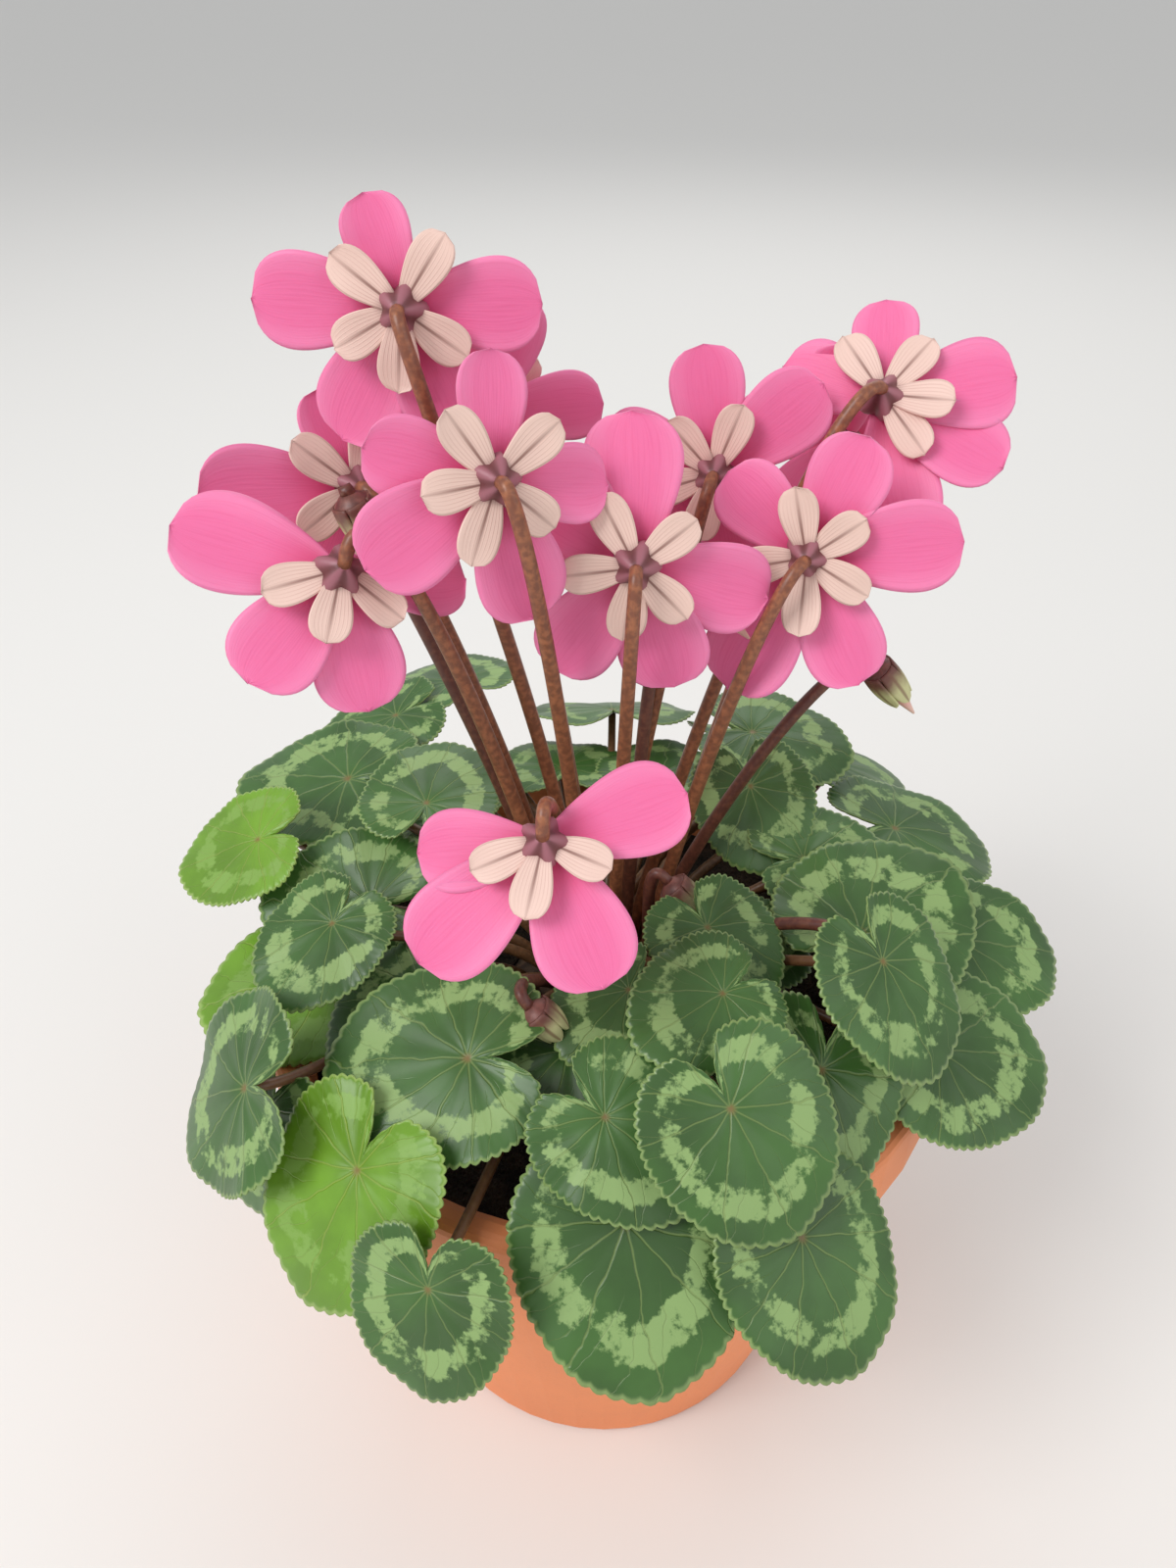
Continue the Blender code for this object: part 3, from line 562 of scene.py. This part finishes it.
def make_flower(key, looks, stem_look, index):
    """One flower head, and its stem as a piece of its own."""
    in_solid = key in FLOWERS
    flower = flower_in_place(key) if in_solid else EXTRA_FLOWERS[key]
    hub, azimuth, height, bend, over, forward, petals = flower
    hub, back = np.array(hub, float), direction(azimuth, height)
    axes = head_frame(back)
    dice = np.random.default_rng(500 + index)
    build = Build()
    add_petals(build, hub, axes, petals, forward, dice)
    add_sepals(build, hub, axes, petals, forward, dice)
    add_core(build, hub, axes)
    head = build.piece(f"flower_{key}", looks)
    crown = crown_of(node_points(f"flower_stem_{key}")) if in_solid else crown_beside(hub)
    path = stem_path(crown, hub, back, FLOWER_HOOK, bend, over, 40)
    build = Build()
    radii = np.linspace(*STEM_RADII, 41)
    build.tube(path, radii, 12, crown[1], -back, lambda share: (share, 0, 0), 0)
    stem = build.piece(f"stem_{key}", [stem_look])
    if in_solid:
        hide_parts(f"flower_head_{key}")
        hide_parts(f"flower_stem_{key}")


def bud_in_place(name):
    """The bud's row, moved as the solid model moved it, and the corner points of its solid."""
    points = node_points(name)
    hub, azimuth, height, length = BUDS[name]

    def moved(shift):
        depth, aside, turn = shift
        return (hub[0] + aside, hub[1] + depth, hub[2] - depth * 0.7), azimuth + turn, height, length

    def miss(shift):
        place, turned, _, _ = moved(shift)
        back = direction(turned, height)
        crown = crown_of(points)
        path = stem_path(crown, np.array(place, float), back, BUD_HOOK, 0, 0, 9)
        tip = np.array(place) - back * length
        return nearest_total(np.array([*path[4:], tip]), points)

    return moved(min(BUD_SHIFTS, key=miss)), points


def make_bud(name, looks):
    """One bud on its stem: a crest, a cone of furled petals and five calyx lobes."""
    if name in BUDS:
        (hub, azimuth, height, length), points = bud_in_place(name)
        crown = crown_of(points)
    else:
        hub, azimuth, height, length = EXTRA_BUDS[name]
        crown = crown_beside(hub)
    hub = np.array(hub, float)
    back = direction(azimuth, height)
    path = stem_path(crown, hub, back, BUD_HOOK, 0, 0, 36)
    build = Build()
    radii = np.linspace(*STEM_RADII, 37)
    build.tube(path, radii, 12, crown[1], -back, lambda share: (share, 0, 0), 0)
    axes = head_frame(back)
    # The pink cone of furled petals, then the calyx lobes folded over it.
    cone = np.array([hub - back * length * s for s in np.linspace(0.15, 1.25, 14)])
    radii = [2.0 * (1 - ((s - 0.1) / 0.92) ** 1.6) + 0.15 for s in np.linspace(0.1, 1.0, 14)]
    build.tube(cone, radii, 14, -back, -back, lambda share: (share, 1, 0), 2)
    crest = np.array([hub + back * s for s in np.linspace(1.2, -3.0, 8)])
    swell = (1.2, 2.1, 2.8, 3.2, 3.2, 2.9, 2.4, 1.6)
    build.tube(crest, swell, 14, -back, -back, lambda share: (share, 0, 0), 1)
    for k in range(5):
        spoke, cross = round_head(axes, 72 * k + 20)

        def place(along, across, spoke=spoke, cross=cross):
            half = 2.3 * (0.75 + 0.5 * along) * max(1 - along**2.2, 0) ** 0.6
            out = 3.1 + 0.5 * math.sin(along * 3.1) - 0.9 * along - 0.25 * (across * half) ** 2 / 2.4
            point = hub - back * (length * 0.82 * along + 0.2) + spoke * out + cross * across * half
            return point, spoke, (along, across, 0)

        build.sheet(place, 12, 8, 0.4, 3)
    made = build.piece(f"{name}_bloom", looks)
    if name in BUDS:
        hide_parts(name)


class Nodes:
    """Short hands for building one material's or group's node tree."""

    def __init__(self, tree):
        self.tree = tree

    def add(self, kind, inputs=None, **values):
        node = self.tree.nodes.new(kind)
        for key, value in values.items():
            setattr(node, key, value)
        for key, value in (inputs or {}).items():
            if isinstance(value, bpy.types.NodeSocket):
                self.tree.links.new(value, node.inputs[key])
            else:
                node.inputs[key].default_value = value
        return node

    def math(self, operation, first, second=0.0, third=0.0, clamp=False):
        inputs = {0: first, 1: second, 2: third} if operation == "MULTIPLY_ADD" else {0: first, 1: second}
        return self.add("ShaderNodeMath", inputs, operation=operation, use_clamp=clamp).outputs[0]

    def times(self, first, second):
        return self.math("MULTIPLY", first, second)

    def less(self, value):
        """One, less the value."""
        return self.math("SUBTRACT", 1.0, value)

    def place(self):
        return self.add("ShaderNodeTexCoord").outputs["Object"]

    def ramp(self, value, low, high):
        """Smooth step of a value from low to high."""
        node = self.add("ShaderNodeMapRange", {0: value, 1: low, 2: high}, interpolation_type="SMOOTHSTEP")
        return node.outputs[0]

    def mix(self, factor, first, second):
        node = self.add("ShaderNodeMix", {0: factor}, data_type="RGBA")
        for socket, value in ((node.inputs[6], first), (node.inputs[7], second)):
            if isinstance(value, bpy.types.NodeSocket):
                self.tree.links.new(value, socket)
            else:
                socket.default_value = (*value, 1.0)
        return node.outputs[2]

    def noise(self, scale, detail=3.0, vector=None, rough=0.5):
        inputs = {"Scale": scale, "Detail": detail, "Roughness": rough}
        if vector is not None:
            inputs["Vector"] = vector
        return self.add("ShaderNodeTexNoise", inputs).outputs[0]

    def grow(self):
        """The value stored on each vertex, as three numbers."""
        stored = self.add("ShaderNodeAttribute", attribute_name="grow", attribute_type="GEOMETRY")
        parts = self.add("ShaderNodeSeparateXYZ", {0: stored.outputs["Vector"]})
        return parts.outputs[0], parts.outputs[1], parts.outputs[2]


def new_material(name, roughness):
    look = bpy.data.materials.new(name)
    look.use_nodes = True
    shader = look.node_tree.nodes["Principled BSDF"]
    shader.inputs["Roughness"].default_value = roughness
    return look, Nodes(look.node_tree), shader


def wire(nodes, shader, colour, rough, height, strength, distance):
    """Join colour, roughness if it varies, and bump height to the shader."""
    links = nodes.tree.links
    links.new(colour, shader.inputs["Base Color"])
    if rough is not None:
        links.new(rough, shader.inputs["Roughness"])
    bump = nodes.add("ShaderNodeBump", {"Strength": strength, "Distance": distance, "Height": height})
    links.new(bump.outputs[0], shader.inputs["Normal"])


def vein_group():
    """Masks of a leaf from its stored place: veins, marbled ring, edge."""
    group = bpy.data.node_groups.new("leaf_masks", "ShaderNodeTree")
    for name in ("Veins", "Ring", "Edge", "Mottle"):
        group.interface.new_socket(name, in_out="OUTPUT", socket_type="NodeSocketFloat")
    nodes = Nodes(group)
    leave = group.nodes.new("NodeGroupOutput")
    u, v, share = nodes.grow()
    place = nodes.place()
    warp = nodes.noise(160.0, 2.0, place)
    radius = nodes.math("SQRT", nodes.math("ADD", nodes.times(u, u), nodes.times(v, v)))
    angle = nodes.math("ARCTAN2", v, u)
    bent = nodes.math("ADD", angle, nodes.times(nodes.math("SUBTRACT", warp, 0.5), 0.22))
    spoke = nodes.math("ABSOLUTE", nodes.math("SINE", nodes.times(bent, 5.5)))
    far = nodes.times(spoke, radius)
    main = nodes.less(nodes.ramp(far, 0.012, 0.055))
    fine = nodes.math(
        "ABSOLUTE", nodes.math("SINE", nodes.math("ADD", nodes.times(bent, 11.0), nodes.times(radius, 7.0)))
    )
    side = nodes.less(nodes.ramp(nodes.times(fine, radius), 0.010, 0.05))
    side = nodes.times(side, nodes.ramp(share, 0.35, 0.6))
    veins = nodes.math("MAXIMUM", main, nodes.times(side, 0.5))
    blotch = nodes.noise(190.0, 5.0, place, 0.65)
    band = nodes.times(nodes.ramp(share, 0.42, 0.60), nodes.less(nodes.ramp(share, 0.74, 0.92)))
    patch = nodes.ramp(nodes.math("ADD", blotch, nodes.times(band, 0.31)), 0.73, 0.83)
    group.links.new(veins, leave.inputs["Veins"])
    group.links.new(nodes.times(patch, nodes.ramp(band, 0.02, 0.25)), leave.inputs["Ring"])
    group.links.new(nodes.ramp(share, 0.955, 0.99), leave.inputs["Edge"])
    group.links.new(nodes.noise(60.0, 4.0, place), leave.inputs["Mottle"])
    return group


def leaf_material(name, masks, dark, silver, vein, edge):
    look, nodes, shader = new_material(name, 0.42)
    mask = nodes.add("ShaderNodeGroup")
    mask.node_tree = masks
    shade = nodes.mix(nodes.ramp(mask.outputs["Mottle"], 0.3, 0.7), dark, [c * 1.6 for c in dark])
    shade = nodes.mix(mask.outputs["Ring"], shade, silver)
    shade = nodes.mix(nodes.times(mask.outputs["Veins"], 0.55), shade, vein)
    shade = nodes.mix(nodes.times(mask.outputs["Edge"], 0.7), shade, edge)
    share = nodes.grow()[2]
    heart = nodes.less(nodes.ramp(share, 0.0, 0.07))
    shade = nodes.mix(nodes.times(heart, 0.8), shade, (0.20, 0.10, 0.03))
    height = nodes.math("SUBTRACT", nodes.times(mask.outputs["Mottle"], 0.6), mask.outputs["Veins"])
    rough = nodes.math("MULTIPLY_ADD", mask.outputs["Ring"], 0.12, 0.38)
    wire(nodes, shader, shade, rough, height, 0.5, 0.0004)
    return look


def stem_material(name, low, high):
    look, nodes, shader = new_material(name, 0.4)
    share = nodes.grow()[0]
    place = nodes.place()
    speck = nodes.noise(900.0, 3.0, place)
    shade = nodes.mix(nodes.ramp(share, 0.0, 1.0), low, high)
    shade = nodes.mix(nodes.ramp(speck, 0.35, 0.75), shade, [c * 1.9 for c in low])
    wire(nodes, shader, shade, None, speck, 0.25, 0.0002)
    return look


def petal_material(pink):
    look, nodes, shader = new_material("petal_satin", 0.5)
    along, across, _ = nodes.grow()
    streak = nodes.add("ShaderNodeCombineXYZ", {0: nodes.times(along, 1.2), 1: nodes.times(across, 14.0)})
    lines = nodes.noise(1.6, 3.0, streak.outputs[0])
    deep = nodes.less(nodes.ramp(along, 0.02, 0.45))
    shade = nodes.mix(nodes.times(deep, 0.75), pink, (0.70, 0.035, 0.16))
    rim = nodes.ramp(nodes.math("ABSOLUTE", across), 0.35, 1.0)
    shade = nodes.mix(nodes.times(rim, 0.45), shade, (0.90, 0.30, 0.52))
    shade = nodes.mix(nodes.times(nodes.ramp(lines, 0.45, 0.7), 0.22), shade, (0.72, 0.07, 0.22))
    shader.inputs["Subsurface Weight"].default_value = 0.12
    shader.inputs["Subsurface Radius"].default_value = (0.004, 0.001, 0.0015)
    shader.inputs["Sheen Weight"].default_value = 0.15
    wire(nodes, shader, shade, None, lines, 0.25, 0.0003)
    return look


def sepal_material(cream):
    look, nodes, shader = new_material("sepal_cream", 0.5)
    along, across, _ = nodes.grow()
    middle = nodes.less(nodes.ramp(nodes.math("ABSOLUTE", across), 0.03, 0.16))
    comb = nodes.math("ABSOLUTE", nodes.math("SINE", nodes.times(across, 17.0)))
    fine = nodes.less(nodes.ramp(comb, 0.05, 0.5))
    fade = nodes.less(nodes.ramp(along, 0.2, 0.95))
    base = nodes.less(nodes.ramp(along, 0.0, 0.3))
    shade = nodes.mix(nodes.times(nodes.times(fine, fade), 0.45), cream, (0.50, 0.22, 0.18))
    midline = nodes.times(middle, nodes.math("MULTIPLY_ADD", fade, 0.6, 0.3))
    shade = nodes.mix(midline, shade, (0.22, 0.09, 0.07))
    shade = nodes.mix(nodes.times(base, 0.8), shade, (0.26, 0.09, 0.09))
    wire(nodes, shader, shade, None, fine, 0.3, 0.0002)
    return look


def core_material():
    look, nodes, shader = new_material("core_plum", 0.45)
    knob = nodes.grow()[1]
    place = nodes.place()
    # Painted shade: the grooves between the five lobes are painted darker and the lobe tops lighter,
    # following the lobes of the core's shape.
    shade = nodes.mix(nodes.ramp(knob, -1.0, 1.0), (0.14, 0.035, 0.04), (0.34, 0.12, 0.15))
    wire(nodes, shader, shade, None, nodes.noise(700.0, 3.0, place), 0.3, 0.0003)
    return look


def bud_materials():
    calyx, nodes, shader = new_material("calyx_green", 0.5)
    along, across, _ = nodes.grow()
    place = nodes.place()
    patch = nodes.noise(260.0, 3.0, place)
    low = nodes.less(nodes.ramp(nodes.math("ADD", along, nodes.times(patch, 0.5)), 0.35, 0.85))
    middle = nodes.less(nodes.ramp(nodes.math("ABSOLUTE", across), 0.05, 0.3))
    shade = nodes.mix(low, (0.62, 0.60, 0.30), (0.17, 0.06, 0.045))
    shade = nodes.mix(nodes.times(middle, 0.7), shade, (0.20, 0.08, 0.05))
    wire(nodes, shader, shade, None, patch, 0.3, 0.0003)
    tip, nodes, shader = new_material("bud_pink", 0.5)
    along = nodes.grow()[0]
    shade = nodes.mix(nodes.ramp(along, 0.3, 1.0), (0.80, 0.30, 0.30), (0.85, 0.55, 0.45))
    wire(nodes, shader, shade, None, nodes.noise(600.0, 3.0, nodes.place()), 0.2, 0.0002)
    crest, nodes, shader = new_material("bud_crest", 0.45)
    speck = nodes.noise(500.0, 3.0, nodes.place())
    shade = nodes.mix(nodes.ramp(speck, 0.3, 0.7), (0.11, 0.035, 0.028), (0.24, 0.09, 0.07))
    wire(nodes, shader, shade, None, speck, 0.3, 0.0003)
    return crest, tip, calyx


class CYCLAMEN_OT_pot(bpy.types.Operator):
    """Give the pot, the potting mix and the tuber their materials"""

    bl_idname = "cyclamen.pot"
    bl_label = "Pot"

    def execute(self, context):
        clay = tuple(settings().terracotta)
        look, nodes, shader = new_material("terracotta_clay", 0.62)
        place = nodes.place()
        cloud, grain = nodes.noise(22.0, 4.0, place), nodes.noise(1400.0, 3.0, place)
        pale = [min(c * 1.06, 1) for c in clay]
        shade = nodes.mix(nodes.ramp(cloud, 0.3, 0.7), [c * 0.92 for c in clay], pale)
        shade = nodes.mix(nodes.times(nodes.ramp(grain, 0.5, 0.8), 0.15), shade, [c * 0.6 for c in clay])
        wire(nodes, shader, shade, nodes.math("MULTIPLY_ADD", cloud, 0.15, 0.52), grain, 0.25, 0.0002)
        soil, nodes, shader = new_material("peat_mix", 0.95)
        place = nodes.place()
        lumps, crumbs = nodes.noise(260.0, 6.0, place, 0.7), nodes.noise(1100.0, 4.0, place)
        shade = nodes.mix(nodes.ramp(lumps, 0.35, 0.7), (0.010, 0.007, 0.005), (0.07, 0.045, 0.03))
        wire(nodes, shader, shade, None, nodes.math("ADD", lumps, crumbs), 1.0, 0.002)
        bark, nodes, shader = new_material("tuber_skin", 0.85)
        place = nodes.place()
        scales = nodes.noise(240.0, 5.0, place, 0.6)
        shade = nodes.mix(nodes.ramp(scales, 0.35, 0.7), (0.05, 0.03, 0.02), (0.20, 0.12, 0.07))
        wire(nodes, shader, shade, None, scales, 0.8, 0.001)
        for name, made in (("pot", look), ("potting_mix", soil), ("tuber", bark)):
            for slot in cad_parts[name].material_slots:
                slot.material = made
        return {"FINISHED"}


class CYCLAMEN_OT_leaves(bpy.types.Operator):
    """Build every leaf with its petiole"""

    bl_idname = "cyclamen.leaves"
    bl_label = "Leaves"

    def execute(self, context):
        masks, chosen = vein_group(), settings()
        dark = leaf_material(
            "leaf_marbled", masks, chosen.leaf_dark, chosen.leaf_silver,
            (0.20, 0.28, 0.08), (0.30, 0.42, 0.14),
        )
        fresh = leaf_material(
            "leaf_fresh", masks, chosen.leaf_fresh, (0.20, 0.36, 0.06), (0.28, 0.38, 0.06), (0.36, 0.50, 0.14)
        )
        petiole = stem_material("petiole", (0.10, 0.05, 0.02), (0.16, 0.07, 0.03))
        for index, name in enumerate([*LEAVES, *EXTRA_LEAVES]):
            make_leaf(name, [fresh if name in FRESH_LEAVES else dark, petiole], index)
        return {"FINISHED"}


class CYCLAMEN_OT_flowers(bpy.types.Operator):
    """Build every flower head and its stem"""

    bl_idname = "cyclamen.flowers"
    bl_label = "Flowers"

    def execute(self, context):
        chosen = settings()
        looks = [petal_material(chosen.petal_pink), sepal_material(chosen.sepal_cream), core_material()]
        stem = stem_material("flower_stem", (0.19, 0.068, 0.030), (0.20, 0.066, 0.036))
        for index, key in enumerate([*FLOWERS, *EXTRA_FLOWERS]):
            make_flower(key, looks, stem, index)
        return {"FINISHED"}


class CYCLAMEN_OT_buds(bpy.types.Operator):
    """Build every bud and its stem"""

    bl_idname = "cyclamen.buds"
    bl_label = "Buds"

    def execute(self, context):
        crest, tip, calyx = bud_materials()
        stem = stem_material("bud_stem", (0.10, 0.035, 0.02), (0.12, 0.035, 0.028))
        for name in [*BUDS, *EXTRA_BUDS]:
            make_bud(name, [stem, crest, tip, calyx])
        return {"FINISHED"}


class CYCLAMEN_OT_stage(bpy.types.Operator):
    """Set up the floor, the lamps, the world and the camera"""

    bl_idname = "cyclamen.stage"
    bl_label = "Stage"

    def execute(self, context):
        scene = context.scene
        bpy.ops.mesh.primitive_plane_add(size=60, location=(0, 0, 0))
        floor = context.object
        floor.name = "floor"
        look, nodes, shader = new_material("floor_pale", 0.8)
        shader.inputs["Base Color"].default_value = (0.80, 0.78, 0.75, 1)
        floor.data.materials.append(look)
        for name, place, size, power in (
            ("key_lamp", (-0.9, -0.7, 1.3), 0.7, 15),
            ("fill_lamp", (1.1, -0.8, 0.9), 1.2, 4),
            ("rear_lamp", (0.2, 1.2, 1.2), 1.0, 5),
        ):
            light = bpy.data.lights.new(name, "AREA")
            light.size, light.energy = size, power
            lamp = bpy.data.objects.new(name, light)
            lamp.location = place
            aim = np.array([0, 0, 0.16]) - np.array(place)
            lamp.rotation_euler = (
                math.atan2(math.hypot(aim[0], aim[1]), -aim[2]), 0, math.atan2(aim[1], aim[0]) - math.pi / 2,
            )
            scene.collection.objects.link(lamp)
        world = scene.world or bpy.data.worlds.new("studio")
        scene.world = world
        world.use_nodes = True
        shade = world.node_tree.nodes["Background"]
        shade.inputs[0].default_value = (0.86, 0.88, 0.90, 1)
        shade.inputs[1].default_value = 0.7
        camera = bpy.data.objects.new("camera", bpy.data.cameras.new("camera"))
        camera.location = (-0.0039, -0.192, 0.306)
        camera.rotation_euler = (math.radians(54), 0, 0)
        camera.data.lens = 27.05
        camera.data.clip_start = 0.01
        scene.collection.objects.link(camera)
        scene.camera = camera
        scene.view_settings.view_transform = "Standard"
        return {"FINISHED"}


class CYCLAMEN_PT_panel(bpy.types.Panel):
    bl_label = "Cyclamen"
    bl_space_type = "VIEW_3D"
    bl_region_type = "UI"
    bl_category = "Cyclamen"

    def draw(self, context):
        for name in CyclamenSettings.__annotations__:
            self.layout.prop(settings(), name)
        for operator in OPERATORS:
            self.layout.operator(operator.bl_idname)


OPERATORS = (CYCLAMEN_OT_pot, CYCLAMEN_OT_leaves, CYCLAMEN_OT_flowers, CYCLAMEN_OT_buds, CYCLAMEN_OT_stage)
CLASSES = (CyclamenSettings, *OPERATORS, CYCLAMEN_PT_panel)


def register():
    for item in CLASSES:
        bpy.utils.register_class(item)
    bpy.types.Scene.cyclamen = PointerProperty(type=CyclamenSettings)


def unregister():
    del bpy.types.Scene.cyclamen
    for item in reversed(CLASSES):
        bpy.utils.unregister_class(item)


def main():
    register()
    bpy.ops.cyclamen.pot()
    bpy.ops.cyclamen.leaves()
    bpy.ops.cyclamen.flowers()
    bpy.ops.cyclamen.buds()
    bpy.ops.cyclamen.stage()
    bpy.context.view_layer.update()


if __name__ == "__main__":
    main()
